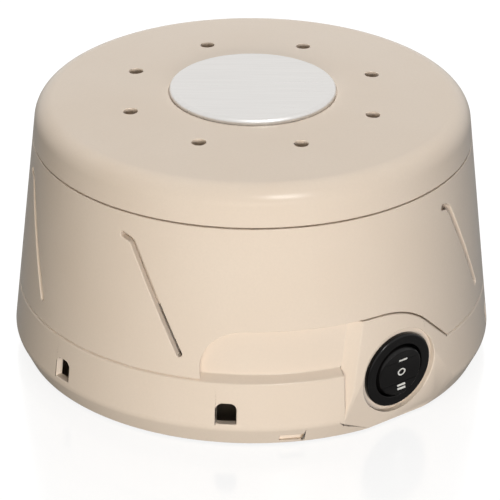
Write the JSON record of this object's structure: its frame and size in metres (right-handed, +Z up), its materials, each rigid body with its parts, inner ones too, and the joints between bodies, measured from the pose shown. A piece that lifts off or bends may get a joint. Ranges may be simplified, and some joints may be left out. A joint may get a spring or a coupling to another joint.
{
  "type": "white noise sound machine",
  "caption": "Round fan-driven sound machine with a domed cap and a slotted collar that both turn by hand to tune the airflow, a disc badge and a side rocker switch.",
  "frame": {"origin": "on the table plane, on the axis of the round body, under the four feet", "axes": "+Z up; -Y to the front, where the cut-out in the collar starts; the switch is to the right of the front; the cord inlet is at the back (+Y)"},
  "size_m": [0.146, 0.146, 0.084],
  "materials": {
    "shell": "satin-gloss beige moulding",
    "inner_shell": "same moulding, inside",
    "badge": "brushed, with a bright rounded edge",
    "rubber": "matt black",
    "screws": "zinc plated",
    "black_plastic": "glossy black",
    "terminals": "plain brass",
    "laminations": "stacked sheets",
    "copper": "bare copper",
    "nylon": "natural nylon",
    "copper_wire": "enamelled wire",
    "bracket_steel": "pressed, zinc plated",
    "bronze": "sintered bronze",
    "fibre": "hard fibre",
    "shaft_steel": "ground",
    "fan_plastic": "dark grey moulding",
    "block_plastic": "white moulding",
    "capacitor_case": "yellow case",
    "lead_brown": "brown insulation",
    "lead_red": "red insulation",
    "lead_white": "white insulation",
    "lead_grey": "grey insulation",
    "lead_blue": "blue insulation"
  },
  "bodies": {
    "base": {"base_shell": "shell", "base_plate": "shell", "feet": "rubber", "base_screws": "screws", "acoustic_housing": "inner_shell", "housing_screws": "screws", "cap_screw": "screws", "cap_washer": "screws", "switch_body": "black_plastic", "switch_terminals": "terminals", "stator_core": "laminations", "shading_rings": "copper", "bobbin": "nylon", "winding": "copper_wire", "lower_bracket": "bracket_steel", "upper_bracket": "bracket_steel", "lower_bush": "bronze", "upper_bush": "bronze", "thrust_disc": "fibre", "motor_bolts": "screws", "mount_grommets": "rubber", "mount_screws": "screws", "cord_grommet": "rubber", "terminal_block": "block_plastic", "speed_capacitor": "capacitor_case", "supply_lead": "lead_brown", "low_speed_lead": "lead_red", "capacitor_lead": "lead_white", "high_speed_lead": "lead_grey", "return_lead": "lead_blue"},
    "collar": {"collar": "shell"},
    "cap": {"cap": "shell", "badge": "badge"},
    "rotor": {"rotor_core": "laminations", "rotor_shaft": "shaft_steel", "fan": "fan_plastic", "fan_clip": "screws"},
    "rocker": {"switch_rocker": "black_plastic"}
  },
  "joints": [
    {"name": "collar_turn", "type": "hinge", "parent": "base", "child": "collar", "pos_m": [0, 0, 0.045], "axis": [0, 0, 1], "range_deg": [0, 25]},
    {"name": "cap_turn", "type": "hinge", "parent": "base", "child": "cap", "pos_m": [0, 0, 0.08], "axis": [0, 0, 1], "range_deg": [0, 22.5]},
    {"name": "rotor_spin", "type": "hinge", "parent": "base", "child": "rotor", "pos_m": [0, 0, 0.028], "axis": [0, 0, 1], "continuous": true},
    {"name": "rocker_tip", "type": "hinge", "parent": "base", "child": "rocker", "pos_m": [0.04206, -0.05306, 0.0171], "axis": [0.7837, 0.6211, 0], "range_deg": [-9, 9]}
  ]
}
